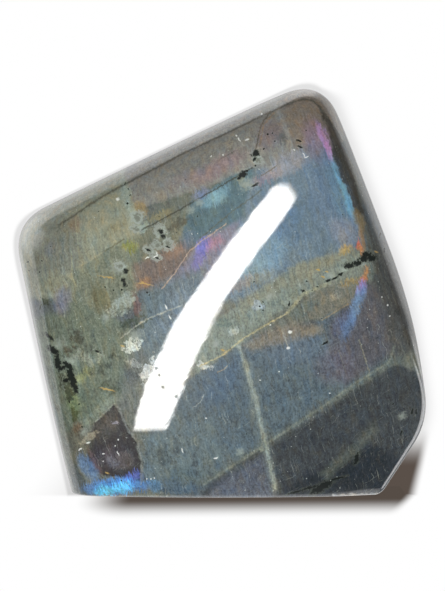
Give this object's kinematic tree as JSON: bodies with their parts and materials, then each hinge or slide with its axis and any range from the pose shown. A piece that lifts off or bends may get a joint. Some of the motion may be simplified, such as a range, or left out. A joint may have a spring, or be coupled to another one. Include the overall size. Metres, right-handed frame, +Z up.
{
  "type": "labradorite freeform",
  "caption": "Polished labradorite freeform with a domed display face and rounded shoulders, standing on a flat cut base.",
  "frame": {"origin": "in the flat cut base, under the middle of the stone's bounding box", "axes": "+Z up, the display face towards -Y, +X to the right seen from the front, thickness along Y"},
  "size_m": [0.0796, 0.031, 0.0793],
  "materials": {
    "labradorite": "polished"
  },
  "bodies": {
    "root": {"stone": "labradorite"}
  },
  "joints": []
}
